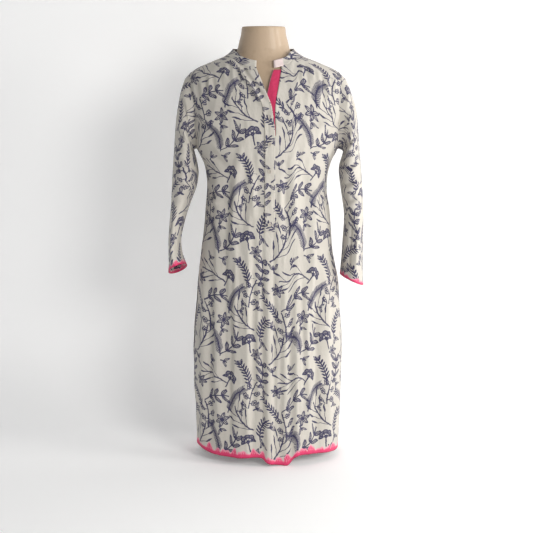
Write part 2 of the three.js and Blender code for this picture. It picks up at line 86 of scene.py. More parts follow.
# %% Floor, wall and lights
WALL_Y = 0.32
BEND = 0.2
stage_mesh = bmesh.new()
bmesh.ops.create_grid(stage_mesh, x_segments=1, y_segments=160, size=1)
for vert in stage_mesh.verts:
    along = (vert.co.y + 1) / 2 * 6 - 3
    over = along - (WALL_Y - BEND)
    turn = min(max(over / BEND, 0), math.pi / 2)
    rise = max(over - BEND * math.pi / 2, 0)
    y = min(along, WALL_Y - BEND) + BEND * math.sin(turn)
    vert.co = Vector((vert.co.x * 4, y, BEND * (1 - math.cos(turn)) + rise))
stage_data = bpy.data.meshes.new("stage")
stage_mesh.to_mesh(stage_data)
stage_data.shade_smooth()
stage = bpy.data.objects.new("stage", stage_data)
bpy.context.collection.objects.link(stage)
paper = bpy.data.materials.new("paper")
paper.use_nodes = True
paper_shader = paper.node_tree.nodes["Principled BSDF"]
paper_shader.inputs["Base Color"].default_value = (0.92, 0.92, 0.92, 1)
paper_shader.inputs["Roughness"].default_value = 0.9
paper_shader.inputs["Emission Color"].default_value = (1, 1, 1, 1)
paper_shader.inputs["Emission Strength"].default_value = 0.16
paper_nodes, paper_links = paper.node_tree.nodes, paper.node_tree.links
facing = paper_nodes.new("ShaderNodeNewGeometry")
glass = paper_nodes.new("ShaderNodeBsdfTransparent")
one_sided = paper_nodes.new("ShaderNodeMixShader")
paper_links.new(facing.outputs["Backfacing"], one_sided.inputs[0])
paper_links.new(paper_shader.outputs[0], one_sided.inputs[1])
paper_links.new(glass.outputs[0], one_sided.inputs[2])
paper_links.new(one_sided.outputs[0], paper_nodes["Material Output"].inputs["Surface"])
stage_data.materials.append(paper)
ground_mesh = bmesh.new()
bmesh.ops.create_grid(ground_mesh, x_segments=1, y_segments=1, size=12)
bmesh.ops.translate(ground_mesh, verts=ground_mesh.verts, vec=(0, 0, -0.003))
ground_data = bpy.data.meshes.new("ground")
ground_mesh.to_mesh(ground_data)
ground_data.materials.append(paper)
ground = bpy.data.objects.new("ground", ground_data)
bpy.context.collection.objects.link(ground)


def soft_light(name, place, size, power, look=(0, 0, 0.5), color=(1, 1, 1)):
    data = bpy.data.lights.new(name, "AREA")
    data.shape = "DISK"
    data.size = size
    data.energy = power
    data.color = color
    light = bpy.data.objects.new(name, data)
    light.location = place
    light.rotation_euler = (Vector(look) - Vector(place)).to_track_quat("-Z", "Y").to_euler()
    bpy.context.collection.objects.link(light)


soft_light("key", (1.6, -2.3, 1.5), 1.2, 38, look=(0, 0, 0.5), color=(1, 0.98, 0.95))
soft_light("side", (2.5, -0.8, 1.3), 0.9, 31, look=(0, 0, 0.6), color=(1, 0.98, 0.95))
soft_light("front", (0.2, -3.2, 1.4), 2.0, 4)
soft_light("back", (-1.6, 3.4, 1.8), 2.0, 40, look=(0, 0.3, 0.5))
world = bpy.data.worlds.new("room")
world.use_nodes = True
world.node_tree.nodes["Background"].inputs["Color"].default_value = (0.95, 0.97, 1, 1)
room_nodes, room_links = world.node_tree.nodes, world.node_tree.links
room_nodes["Background"].inputs["Strength"].default_value = 0.24
seen_room = room_nodes.new("ShaderNodeBackground")
seen_room.inputs["Color"].default_value = (0.97, 0.97, 0.97, 1)
rays = room_nodes.new("ShaderNodeLightPath")
room_mix = room_nodes.new("ShaderNodeMixShader")
room_links.new(rays.outputs["Is Camera Ray"], room_mix.inputs[0])
room_links.new(room_nodes["Background"].outputs[0], room_mix.inputs[1])
room_links.new(seen_room.outputs[0], room_mix.inputs[2])
room_links.new(room_mix.outputs[0], room_nodes["World Output"].inputs["Surface"])
bpy.context.scene.world = world

# %% [markdown]
# ## Writing a material as sums
# A pattern is only arithmetic on the cloth's own coordinates. The small class below wraps one
# socket, so that an ordinary Python expression adds the Math nodes that it needs. Distances are
# millimetres on the cloth, and a shape is where its distance is below zero.

# %% Sockets with operators
class Value:
    """One output of a shader node, with Python's operators on it."""

    def __init__(self, socket):
        self.socket = socket

    def __add__(self, other):
        return sums("ADD", self, other)

    def __sub__(self, other):
        return sums("SUBTRACT", self, other)

    def __rsub__(self, other):
        return sums("SUBTRACT", other, self)

    def __mul__(self, other):
        return sums("MULTIPLY", self, other)

    def __truediv__(self, other):
        return sums("DIVIDE", self, other)

    def __abs__(self):
        return sums("ABSOLUTE", self)

    __radd__ = __add__
    __rmul__ = __mul__


class Tree:
    """The node tree that new nodes go into."""
    nodes = None

    @classmethod
    def start(cls, name):
        material = bpy.data.materials.new(name)
        material.use_nodes = True
        cls.nodes = material.node_tree.nodes
        cls.links = material.node_tree.links
        cls.shader = cls.nodes["Principled BSDF"]
        return material


def node(kind, settings=None, output=0, **inputs):
    """Add a node, set it, fill or link its inputs by name or number, and give one output."""
    made = Tree.nodes.new("ShaderNode" + kind)
    for key, value in (settings or {}).items():
        setattr(made, key, value)
    for key, value in inputs.items():
        numbered = key[0] == "_" and key[1:].isdigit()
        socket = made.inputs[int(key[1:]) if numbered else key.replace("_", " ")]
        if isinstance(value, Value):
            Tree.links.new(value.socket, socket)
        else:
            socket.default_value = value
    return Value(made.outputs[output])


def sums(operation, *values):
    return node("Math", {"operation": operation}, **{f"_{i}": v for i, v in enumerate(values)})


def least(a, b):
    return sums("MINIMUM", a, b)


def most(a, b):
    return sums("MAXIMUM", a, b)


def wrap(value, half):
    return sums("WRAP", value, half, -half)


def above(value, limit):
    return sums("GREATER_THAN", value, limit)


def turn_of(a, b):
    return sums("ARCTAN2", a, b)


def far(x, y):
    return node("VectorMath", {"operation": "LENGTH"}, output=1, _0=node("CombineXYZ", X=x, Y=y))


def clear(distance, softness):
    """1 inside a shape and 0 outside it, with a soft edge."""
    return node("Math", {"operation": "MULTIPLY_ADD", "use_clamp": True},
                _0=distance, _1=-1 / softness, _2=0.5)


def mix(factor, a, b):
    made = node("Mix", {"data_type": "RGBA"}, output=2, _0=factor, _6=a, _7=b)
    return made


def feed(**inputs):
    """Set or link the sockets of the material's own shader."""
    for key, value in inputs.items():
        socket = Tree.shader.inputs[key.replace("_", " ")]
        if isinstance(value, Value):
            Tree.links.new(value.socket, socket)
        else:
            socket.default_value = value


# %% [markdown]
# ## The print
# The cotton carries an indigo line print of leaves and flowers, as from a block or a screen.
# Every motif is drawn by a rule: a row of leaves is one leaf whose coordinates repeat along a
# stem, and a flower is one petal whose coordinates repeat round a point. A chart then places the
# motifs on one repeat, each with its own angle, size and bend.

# %% Parts of a motif
BOLD = 0.56                     # how far the ink spreads past a drawn edge
LINE = 1.05                    # half the weight of a drawn line, in millimetres


def outline(distance, weight=LINE):
    return abs(distance) - weight


def stem(x, y, reach, weight=LINE):
    return most(abs(y) - weight, abs(x) - reach)


def leaf_row(x, y, step, length, lean, reach, alternate):
    """In one leaf of a row: how far across it, how far along it (0 to 1), how far outside."""
    away = abs(y)
    shifted = x - away * lean
    if alternate:
        shifted = shifted + above(y, 0) * (step / 2)
    across = abs(wrap(shifted, step / 2))
    outside = most(away - length, abs(shifted) - reach)
    return across, away / length, outside


# %% Sprays of leaves
def frond(x, y):
    across, along, outside = leaf_row(x, y, 3.6, 8.5, 1.1, 36, False)
    bristle = most(across - 0.95 + along * 0.6, outside)
    return least(bristle, stem(x, y, 40, 1.1))


def fern(x, y):
    across, along, outside = leaf_row(x, y, 8.5, 11, 0.75, 28, False)
    return least(most(across - along * (1 - along) * 9.5, outside), stem(x, y, 38))


def buds(x, y):
    across, along, outside = leaf_row(x, y, 19, 24, 1.5, 30, True)
    bud = across - most(along - 0.55, 0) * (1 - along) * 52
    drawn = least(outline(bud, 0.6), most(bud, 0.8 - along))
    return least(most(drawn, outside), stem(x, y, 36))


def sprig(x, y):
    across, along, outside = leaf_row(x, y, 21, 19, 0.8, 26, False)
    blade = across - along * (1 - along) * 21
    veins = most(most(abs(wrap(along * 19 - across * 0.9, 1.7)) - 0.42, blade), 0.3 - along)
    leaf = least(least(outline(blade), across - 0.5), veins)
    return least(most(leaf, outside), stem(x, y, 38))


# %% Flowers
def blossoms(x, y):
    across, along, _ = leaf_row(x, y, 24, 14, 0.35, 24, True)
    height = along * 14 - 14
    radius = far(across, height)
    petal = abs(wrap(turn_of(across, height), math.pi / 5))
    rim = radius + petal * petal * 5 - 6.6
    split = most(most(radius * (math.pi / 5 - petal) - 0.45, rim), 2 - radius)
    flower = least(least(outline(rim, 0.7), split), outline(radius - 1.9, 0.5))
    stalk = most(across - 0.6, along - 0.6)
    return least(most(least(flower, stalk), abs(x) - 34), stem(x, y, 34))


def fan(x, y):
    radius = far(x, y)
    turn = turn_of(y, x)
    petal = abs(wrap(turn, math.pi / 7))
    rim = radius + petal * petal * 12 - 17
    side = abs(turn) - 1.75
    split = most(radius * (math.pi / 7 - petal) - 0.5, rim)
    rays = most(radius * abs(wrap(turn, math.pi / 35)) - 0.42, abs(radius - 11.5) - 3.2)
    petals = least(outline(most(rim, side * 12)), most(least(split, rays), side * 12))
    stalk = most(abs(y) - LINE, most(x, -26 - x))
    return least(least(petals, outline(radius - 3.4, 0.7)), stalk)


def lily(x, y):
    radius = far(x, y)
    across = abs(wrap(turn_of(y, x), math.pi / 6)) * radius
    along = radius / 19
    edge = outline(across - along * (1 - along) * 15, 0.75)
    return least(most(least(edge, across - 0.45), radius - 19), outline(radius - 3.2, 0.6))


def pair(x, y):
    across, along, outside = leaf_row(x, y, 40, 13, 0.9, 12, False)
    edge = outline(across - along * (1 - along) * 15, 0.7)
    return least(most(least(edge, across - 0.5), outside), stem(x, y, 9))


# %% One repeat of the print
TILE_WIDTH = 216
TILE_HEIGHT = 248
MOTIFS = dict(frond=frond, fern=fern, buds=buds, sprig=sprig, blossoms=blossoms, fan=fan,
              lily=lily, pair=pair)
CHART = """
buds       31  31   62  1.15  0.006
frond      78  48  118  1.05  0.007
sprig     121  31   50  0.98  0.008
fan       164  42  100  1.05  0
fern      198  78   70  0.98  -0.007
blossoms   48  96  100  1.02  0.004
lily       93  93   20  1.00  0
buds      146  94  130  1.12  -0.006
pair      184 122   30  1.05  0
fern       11 137  140  0.95  0.006
sprig      69 151   15  0.95  -0.007
frond     121 149   55  1.00  -0.006
blossoms  170 160   70  1.00  -0.004
lily       26 182   50  0.90  0
buds       67 203  165  1.05  0.006
fan       112 198   60  1.00  0
fern      157 213  115  0.98  0.006
sprig     201 211   85  0.95  0.007
pair       13 231  100  1.00  0
pair       96 240  -20  0.95  0
lily      184  10   10  0.80  0
pair       90  69  -60  0.90  0
pair      203 172  -50  0.95  0
pair        8  92   20  0.95  0
pair       58 236   60  0.90  0
pair      138 236  100  0.80  0
pair      200  40  -70  0.95  0
pair      140 118  -10  0.80  0
"""


def place_motif(cloth, x, y, turn, size):
    """The cloth's coordinates as one motif sees them, repeated with the tile."""
    half = (TILE_WIDTH / 2, TILE_HEIGHT / 2, 1)
    moved = node("VectorMath", {"operation": "SUBTRACT"}, _0=cloth, _1=(x, y, 0))
    moved = node("VectorMath", {"operation": "WRAP"}, _0=moved, _1=half, _2=tuple(-h for h in half))
    moved = node("VectorRotate", {"rotation_type": "Z_AXIS"},
                 Vector=moved, Angle=math.radians(-turn))
    moved = node("VectorMath", {"operation": "SCALE"}, _0=moved, Scale=1 / size)
    parts = Tree.nodes.new("ShaderNodeSeparateXYZ")
    Tree.links.new(moved.socket, parts.inputs[0])
    return Value(parts.outputs[0]), Value(parts.outputs[1])


def print_distance(cloth):
    """The distance to the nearest drawn line of the print."""
    nearest = None
    for line in CHART.strip().splitlines():
        kind, *numbers = line.split()
        x, y, turn, size, bend = map(float, numbers)
        across, up = place_motif(cloth, x, y, turn, size)
        if bend:
            up = up - across * across * bend
        motif = MOTIFS[kind](across, up)
        nearest = motif if nearest is None else least(nearest, motif)
    return nearest


# %% [markdown]
# ## Printed cotton
# Thin cotton is matt, with a faint nap. The ink sits in the threads, so it only changes the
# colour. A row of deep pink petals is printed along the hem and the cuffs: their height is a
# curve that repeats along the edge, made uneven by a slow noise. Fine crumples and the weave are
# bump, and everything larger is in the mesh.

# %% Colours and coordinates
CREAM = (0.63, 0.597, 0.54, 1)
CREAM_DEEP = (0.555, 0.522, 0.465, 1)
INDIGO = (0.040, 0.038, 0.095, 1)
PINK = (0.74, 0.05, 0.16, 1)
PINK_PALE = (0.90, 0.40, 0.50, 1)
PINK_DEEP = (0.46, 0.015, 0.07, 1)
PALE_END = (0.86, 0.72, 0.70, 1)


def cloth_millimetres():
    uv = node("UVMap", {"uv_map": "cloth"})
    return node("VectorMath", {"operation": "SCALE"}, _0=uv, Scale=1000)


def parts_of(vector):
    split = Tree.nodes.new("ShaderNodeSeparateXYZ")
    Tree.links.new(vector.socket, split.inputs[0])
    return Value(split.outputs[0]), Value(split.outputs[1])


def noise(vector, scale, detail=2, output=0):
    return node("TexNoise", output=output, Vector=vector, Scale=scale, Detail=detail)


def stretched(vector, x, y):
    return node("VectorMath", {"operation": "MULTIPLY"}, _0=vector, _1=(x, y, 1))


def painted(name):
    """A number that the mesh carries at each point."""
    return node("Attribute", {"attribute_name": name}, output=2)


def dashes(distance, along):
    """Topstitching: short threads in a line, where the distance is near zero."""
    return clear(abs(distance) - 0.28, 0.3) * clear(abs(wrap(along, 1.5)) - 1.05, 0.3)


def weave_and_crumple(cloth, strength, stitches=None):
    """Bump of the threads and of the small crumples that handling leaves."""
    x, y = parts_of(cloth)
    threads = sums("SINE", x * 9) * sums("SINE", y * 9)
    crumple = noise(cloth, 0.045, 3)
    pulls = noise(stretched(cloth, 1, 0.22), 0.11, 2)
    slubs = noise(cloth, 0.35, 2)
    height = threads * 0.02 + crumple * 3.0 + pulls * 1.7 + slubs * 0.16
    if stitches is not None:
        height = height + stitches * 0.25
    return node("Bump", Strength=strength, Distance=0.001, Height=height)


# %% The printed cotton
def printed_cotton():
    material = Tree.start("printed_cotton_cloth")
    cloth = cloth_millimetres()
    drift = node("VectorMath", {"operation": "SUBTRACT"}, _0=noise(cloth, 0.09, 2, output=1),
                 _1=(0.5, 0.5, 0.5))
    drawn = node("VectorMath", {"operation": "MULTIPLY_ADD"}, _0=drift, _1=(5, 5, 0), _2=cloth)
    ink = clear(print_distance(drawn) - BOLD, 0.6) * (noise(cloth, 0.5, 2) * 0.5 + 0.75)
    ground = mix(noise(cloth, 0.02, 2), CREAM_DEEP, CREAM)
    colour = mix(least(ink, 1), ground, INDIGO)
    hem = painted("hem")
    along, _ = parts_of(drawn)
    uneven = noise(node("CombineXYZ", X=along), 0.03, 1)
    petal = abs(wrap(along + uneven * 30, 12)) / 12
    height = 9 + (1 - petal * petal) * most(uneven - 0.33, 0) * 62
    inside = clear(hem - height, 1)
    veins = clear(abs(wrap(along + hem * 0.2, 2.2)) - 0.5, 0.8) * clear(9 - hem, 3)
    tips = clear(height - 4 - hem, 4) * clear(8 - hem, 2)
    paint = mix(most(veins * 0.75, tips * 0.7), PINK, PINK_PALE)
    paint = mix(clear(hem - 2.2, 0.8), paint, PINK_DEEP)
    colour = mix(inside, colour, paint)
    colour = mix(painted("plain"), colour, PALE_END)
    stitches = most(dashes(hem - 12, along), dashes(painted("edge") - 2.2, parts_of(cloth)[1]))
    colour = mix(stitches * 0.6, colour, CREAM)
    feed(Base_Color=colour, Roughness=0.86, Normal=weave_and_crumple(cloth, 0.6, stitches))
    feed(Sheen_Weight=0.12, Sheen_Roughness=0.5)
    return material


cotton = printed_cotton()
print("print nodes", len(cotton.node_tree.nodes))


# %% Plain pink cotton
def pink_cotton():
    material = Tree.start("pink_cotton_cloth")
    cloth = cloth_millimetres()
    colour = mix(noise(cloth, 0.12, 3), PINK_DEEP, PINK)
    colour = mix(noise(cloth, 0.5, 2) * 0.35, colour, (0.80, 0.05, 0.16, 1))
    colour = mix(clear(painted("edge") - 0.9, 0.5), colour, PINK_PALE)
    feed(Base_Color=colour, Roughness=0.82, Normal=weave_and_crumple(cloth, 0.3))
    feed(Sheen_Weight=0.1, Sheen_Roughness=0.5)
    return material


pink = pink_cotton()

# %% [markdown]
# ## The torso surface
# The sizes below are millimetres. A row of BODY is one level section of the worn tunic, an oval
# with its own width and depths. A smooth curve through each column gives the section at any
# height. Angle 0 is the middle of the front, and the angle grows towards the wearer's left.

# %% Sizes of the tunic
CLOTH = 0.9                    # wall of a panel; the CAD walls are a little thicker
BAND = 0.9
TUCK = 0.6                     # how far an edge runs under its neighbour at a seam
LAY = 0.6
ROUNDNESS = 2.2
HEM_Z = 15
HEM_BLEND_Z = 110
HEM_BACK_Z = 9
SLIT_TOP_Z = 152
SLIT_SPREAD = 5
UNDERARM_Z = 752
SHOULDER_Z = 930
ARMHOLE_DEPTH = 46
YOKE_Z = 912
NECK_BLEND_Z = 880
NECK_TOP_ROW = 976
PLACKET_TOP_Z = 938
PLACKET_OPEN_Z = 786
PLACKET_BOTTOM_Z = 562


def table(names, text):
    keys = names.split()
    return [dict(zip(keys, map(float, line.split()))) for line in text.strip().splitlines()]


BODY = table("z centre half front back", """
15    1 176 113 112
92    2 179 112 113
198   1 182 112 115
260   2 184 113 117
380   2 175 112 119
438   2 171 111 117
505   1 160 108 109
582   1 152 105  98
640   0 146 106  92
680   0 146 110  94
716   1 153 115  98
752   1 170 118 102
800   0 179 117 104
860  -2 185 108 102
900  -3 187  95  94
918  -4 184  86  86
930  -5 176  79  79
943  -6 155  72  73
955  -7 128  67  69
966  -8 100  64  66
976  -8  78  61  63
""")
NECKLINE = table("turn z", """
0   941
8   944
21  952
35  962
53  967
72  970
90  971
125 971
180 971
""")
HEM_FRONT = table("x z", """
-170 19
-132  9
-65   8
-14   9
-2   -1
12   -6
34   -9
52   -9
66    8
80   14
142  10
170   7
""")
FRONT_SLIT = table("z open edge", """
15    0  1
562   5  6
786  19 20
831  15 19
861   9 20
895  -5 26
918 -14 30
940 -24 34
""")
OVERLAP = table("z seam free", """
562  -6  18
786  -5  18.5
831  -8  14.5
865 -14   7
900 -36  -7.5
940 -62 -24.5
""")
UNDERLAP = table("z free seam", """
562  -4 22
786  -4 25
861  -2 25
890   2 30
923  10 35
940  16 38
""")

# %% [markdown]
# ## Folds
# Cloth that hangs from the shoulders makes long soft folds that fade out upwards. Each row is
# one fold, a ridge or, with a negative rise, a trough, along a straight line from one point of
# the cloth to another. Lengths, widths and depths differ, as they do on worn cotton.

# %% Fold tables
FOLDS_FRONT = table("top bottom width rise low high", """
  2    4 11  5.0 15 545
-12  -12 13 -3.0 15 520
 26   30 15 -3.5 15 560
 66   74 17  3.5 15 470
-58  -64 20  3.5 15 480
-96 -112 18 -3.5 15 520
104  116 18 -3.5 15 540
""")
FOLDS_BACK = table("top bottom width rise low high", """
-70  -88 24  4.0 15 620
-24  -30 22 -4.0 15 560
 18   24 24  4.5 15 640
 62   78 22 -4.0 15 580
104  120 20  4.0 15 520
""")

# %% Creases of the front
FRONT_CREASES = table("x z to_x to_z width rise", """
-172 905 -166 868  4.0  1.8
-163 912 -156 862  4.0 -1.8
-154 918 -147 856  4.5  2.3
-144 922 -139 858  4.5 -2.1
-134 926 -131 872  4.5  2.1
-126 930 -124 884  4.5 -1.6
-94  960 -98  925  4.0  1.5
-86  956 -88  915  4.0 -1.6
-77  952 -76  905  4.0  1.7
-68  946 -64  900  4.0 -1.6
-60  942 -54  896  4.0  1.5
-70  948 -12  865  4.5  3.4
-61  948 -5   872  4.0 -3.2
-80  945 -24  862  5.0 -2.6
100  956 108  912  4.0  1.5
90   951  96  905  4.0 -1.6
80   946  82  900  4.0  1.6
118  930 124  880  4.5  1.8
129  927 133  868  4.5 -2.0
140  923 143  862  4.5  2.0
150  918 152  858  4.5 -1.8
160  911 160  866  4.5  1.8
-165 842 -112 806  9.0  3.4
-168 822 -118 782  8.0 -3.0
-160 792 -108 756  9.0  3.2
-150 762 -96  716  9.0 -3.0
-140 738 -92  690  8.0  2.6
165  840 118  800  9.0  3.2
168  816 124  774  8.0 -3.0
160  788 112  744  9.0  3.2
150  756 104  706  9.0 -2.8
-66  742 -72  600  8.0  2.8
-50  730 -54  570  8.0 -2.6
-92  716 -96  540 10.0 -3.0
-76  690 -82  500  7.0  2.4
60   735  66  560  9.0  2.8
44   724  46  540  7.0 -2.2
88   716  94  520 10.0 -3.0
112  690 112  480  9.0  2.8
-116 690 -118 470  9.0  3.0
-138 676 -104 650  6.0  2.6
-140 655 -100 640  5.0 -2.4
-138 632 -110 626  6.0  2.4
138  668 106  648  6.0  2.6
140  648 102  632  5.0 -2.4
136  626 108  616  6.0  2.2
-34  700 -30  600  6.0  1.8
30   690  33  590  6.0  1.8
""")
SKIRT_CREASES = table("x z to_x to_z width rise", """
-148 470 -158 50   9.0  4.0
-134 430 -140 30   8.0 -3.8
-120 500 -124 150  7.0  2.8
-112 420 -116 20   8.0  3.2
-100 540 -104 240  6.0 -2.6
-88  400 -92  30   8.0 -3.2
-72  560 -76  300  6.0  2.4
-44  520 -46  30   7.0  3.0
-32  480 -34  20   7.0 -3.0
-20  420 -20  120  5.0  1.6
-10  556 -9   -10  2.8 -3.2
16   556  18  -10  3.6 -2.2
28   520  27  60   5.0  1.6
40   470  44  0    8.0  2.6
56   430  60  10   6.0 -2.4
69   416  72  -10  3.0  1.9
84   500  90  140  7.0 -2.4
96   400 104  20   9.0  3.2
108  540 112  260  6.0  2.2
118  430 128  20   8.0 -3.8
140  470 152  40   9.0  3.8
""")
FRONT_CREASES += SKIRT_CREASES

# %% Creases of the back
BACK_CREASES = table("x z to_x to_z width rise", """
-160 905 -150 850  5.0  2.0
-148 915 -140 850  5.0 -2.0
-136 922 -130 850  5.0  2.0
-100 950 -98  880  5.0  1.6
-84  954 -80  880  5.0 -1.6
80   954  78  880  5.0  1.6
96   950  94  876  5.0 -1.6
134  922 128  852  5.0  2.0
146  916 138  846  5.0 -2.0
158  905 150  850  5.0  2.0
-165 840 -100 780 10.0  3.4
-160 800 -96  736 10.0 -3.2
-150 760 -90  690  9.0  3.2
165  836 102  776 10.0  3.4
160  796 98   734 10.0 -3.2
150  756 90   688  9.0  3.2
-60  860 -52  640 11.0  2.6
-38  840 -34  600 10.0 -2.6
-12  800 -8   560  9.0  2.6
14   850  12  600 10.0 -2.4
40   820  36  580 10.0  2.8
64   780  66  540  9.0 -2.6
-130 676 -90  640  7.0  3.0
-134 650 -94  622  6.0 -2.8
-126 622 -92  600  7.0  2.6
132  672 94   640  7.0  3.0
134  648 98   620  6.0 -2.8
-60  600 20   590  8.0  2.2
-30  572 50   580  8.0 -2.2
-150 480 -160 50   9.0  4.0
-132 440 -140 30   9.0 -3.8
-112 540 -120 120  8.0  3.0
-48  500 -56  30   8.0 -3.0
-6   520 -8   40   8.0  3.0
42   480 50   30   8.0 -3.0
84   540 92   60   8.0  3.0
120  460 130  30   9.0 -3.8
146  480 156  50   9.0  4.0
""")

# %% Smooth curves through the tables
CREASE_DEPTH = 1.5


def lerp(a, b, t):
    return a + (b - a) * t


def smooth(low, high, x):
    t = min(1, max(0, (x - low) / (high - low)))
    return t * t * (3 - 2 * t)


def column(rows, key, name, at):
    """The value of a table's column where its key column is at."""
    last = len(rows) - 1
    if at <= rows[0][key]:
        return rows[0][name]
    if at >= rows[last][key]:
        return rows[last][name]
    i = next(n for n, row in enumerate(rows) if row[key] > at) - 1
    before, a, b, after = rows[max(0, i - 1)], rows[i], rows[i + 1], rows[min(last, i + 2)]
    span = b[key] - a[key]
    t = (at - a[key]) / span
    slope_a = (b[name] - before[name]) / (b[key] - before[key]) * span
    slope_b = (after[name] - a[name]) / (after[key] - a[key]) * span
    t2, t3 = t * t, t * t * t
    return (a[name] * (2 * t3 - 3 * t2 + 1) + slope_a * (t3 - 2 * t2 + t)
            + b[name] * (3 * t2 - 2 * t3) + slope_b * (t3 - t2))


def power(value, exponent):
    return math.copysign(abs(value) ** exponent, value)


# %% The shared surface
def fold_rise(folds, x, z):
    rise = 0
    for fold in folds:
        middle = lerp(fold["bottom"], fold["top"], (z - fold["low"]) / (fold["high"] - fold["low"]))
        reach = math.exp(-(((x - middle) / fold["width"]) ** 2))
        fades_from = lerp(fold["low"], fold["high"], 0.6)
        rise += fold["rise"] * reach * (1 - smooth(fades_from, fold["high"], z))
    return rise


def torso_point(angle, z, out=0, creases=()):
    """A point of the worn surface, moved out by a distance and by the folds there."""
    front = math.cos(angle) > 0
    half = column(BODY, "z", "half", z)
    depth = column(BODY, "z", "front" if front else "back", z)
    x = column(BODY, "z", "centre", z) + half * power(math.sin(angle), 2 / ROUNDNESS)
    y = -depth * power(math.cos(angle), 2 / ROUNDNESS)
    calm = smooth(0, 0.25, abs(math.cos(angle)))
    move = out + calm * fold_rise(FOLDS_FRONT if front else FOLDS_BACK, x, z)
    if creases:
        move += CREASE_DEPTH * crease_rise(creases, x, z) * smooth(0, 0.15, abs(math.cos(angle)))
        move += 2.6 * perlin.noise(Vector((x * 0.03, z * 0.009, 3 if front else 7)))
        move += 1.4 * perlin.noise(Vector((x * 0.08, z * 0.022, 11)))
    return Vector((x + move * math.sin(angle), y - move * math.cos(angle), z))


def crease_rise(creases, x, z):
    """How far the small creases near a point move it."""
    rise = 0
    for crease in creases:
        ax, az = crease["x"], crease["z"]
        dx, dz = crease["to_x"] - ax, crease["to_z"] - az
        length = dx * dx + dz * dz
        along = ((x - ax) * dx + (z - az) * dz) / length
        if -0.2 < along < 1.2:
            near = ((x - ax - along * dx) ** 2 + (z - az - along * dz) ** 2) / crease["width"] ** 2
            if near < 6:
                ends = smooth(-0.2, 0.25, along) * (1 - smooth(0.7, 1.2, along))
                rise += crease["rise"] * ends * math.exp(-near)
    return rise


def angle_at_x(x, z):
    share = (x - column(BODY, "z", "centre", z)) / column(BODY, "z", "half", z)
    return math.asin(power(max(-1, min(1, share)), ROUNDNESS / 2))


def armhole_y(z):
    share = (z - (UNDERARM_Z + SHOULDER_Z) / 2) / ((SHOULDER_Z - UNDERARM_Z) / 2)
    return ARMHOLE_DEPTH * math.sqrt(max(0, 1 - share * share))


def panel_end(side, z):
    """The angle, from the middle of the front or the back, at which the panel ends."""
    if z <= UNDERARM_Z:
        return math.pi / 2
    at = min(z, YOKE_Z)
    return math.acos((armhole_y(at) / column(BODY, "z", side, at)) ** (ROUNDNESS / 2))


def neck_z(angle):
    return column(NECKLINE, "turn", "z", math.degrees(math.acos(math.cos(angle))))


def row_z(z, angle):
    if z <= NECK_BLEND_Z:
        return z
    share = (z - NECK_BLEND_Z) / (NECK_TOP_ROW - NECK_BLEND_Z)
    return lerp(NECK_BLEND_Z, neck_z(angle), share)


def part_sides(point, angle, facing):
    side = abs(math.sin(angle)) ** 6
    spread = SLIT_SPREAD * (1 - smooth(HEM_Z, SLIT_TOP_Z, point.z)) * side
    point.y += facing * (spread - TUCK * side)
    return point


def hang(point, facing):
    """The lowest rows follow the hem's own heights."""
    edge = column(HEM_FRONT, "x", "z", point.x) if facing < 0 else HEM_BACK_Z
    point.z += (edge - HEM_Z) * (1 - smooth(HEM_Z, HEM_BLEND_Z, point.z))
    return point


# %% [markdown]
# ## Cloth pieces
# A piece of cloth starts as a flat grid, as it lay on the cutting table. Every point of the
# grid is then moved to its place on the body, and a Solidify modifier gives the wall. The UV
# map keeps the lengths along the grid in metres, so the print keeps its size on every piece.

# %% Make one piece of cloth
NO_HEM = 1000


def cloth_piece(name, columns, rows, place, wall, closed=False, keep=None, hem=0,
                print_at=(0, 0), material=None, topstitch=False, plain=None):
    bm = bmesh.new()
    uv = bm.loops.layers.uv.new("cloth")
    hem_layer = bm.verts.layers.float.new("hem")
    edge_layer = bm.verts.layers.float.new("edge")
    plain_layer = bm.verts.layers.float.new("plain")
    bmesh.ops.create_grid(bm, x_segments=columns, y_segments=rows, size=0.5)
    points = {}
    cells = {}
    for vert in bm.verts:
        cell = (round((vert.co.x + 0.5) * columns), round((vert.co.y + 0.5) * rows))
        cells[vert] = cell
        points[cell] = place(cell[0] / columns, cell[1] / rows) * MM + SHIFT
        vert.co = points[cell]
    lengths = grid_lengths(points, columns, rows)
    for face in bm.faces:
        for loop in face.loops:
            loop[uv].uv = lengths[cells[loop.vert]] + Vector(print_at) * MM
    for vert in bm.verts:
        i, j = cells[vert]
        vert[hem_layer] = lengths[i, j].y / MM * hem if hem else NO_HEM
        sides = min(lengths[i, j].x - lengths[0, j].x, lengths[columns, j].x - lengths[i, j].x)
        vert[edge_layer] = sides / MM if topstitch else NO_HEM
        vert[plain_layer] = plain(i / columns, j / rows) if plain else 0
    if keep:
        gone = [f for f in bm.faces
                if not keep(*(min(cells[v][axis] for v in f.verts) for axis in (0, 1)))]
        bmesh.ops.delete(bm, geom=gone, context="FACES")
    if closed:
        bmesh.ops.remove_doubles(bm, verts=bm.verts, dist=0.00001)
    mesh = bpy.data.meshes.new(name)
    bm.to_mesh(mesh)
    bm.free()
    mesh.shade_smooth()
    piece = bpy.data.objects.new(name, mesh)
    bpy.context.collection.objects.link(piece)
    solid = piece.modifiers.new("wall", "SOLIDIFY")
    solid.thickness = wall * MM
    solid.offset = -1
    mesh.materials.append(material or cotton)
    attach(piece, "root")
    area = sum(face.area for face in mesh.polygons)
    wide = max(lengths[columns, j].x - lengths[0, j].x for j in range(rows + 1))
    long = max(lengths[i, rows].y for i in range(columns + 1))
    print(name, len(mesh.polygons), "faces, area", round(area, 4),
          "flat", round(wide, 3), round(long, 3))
    return piece


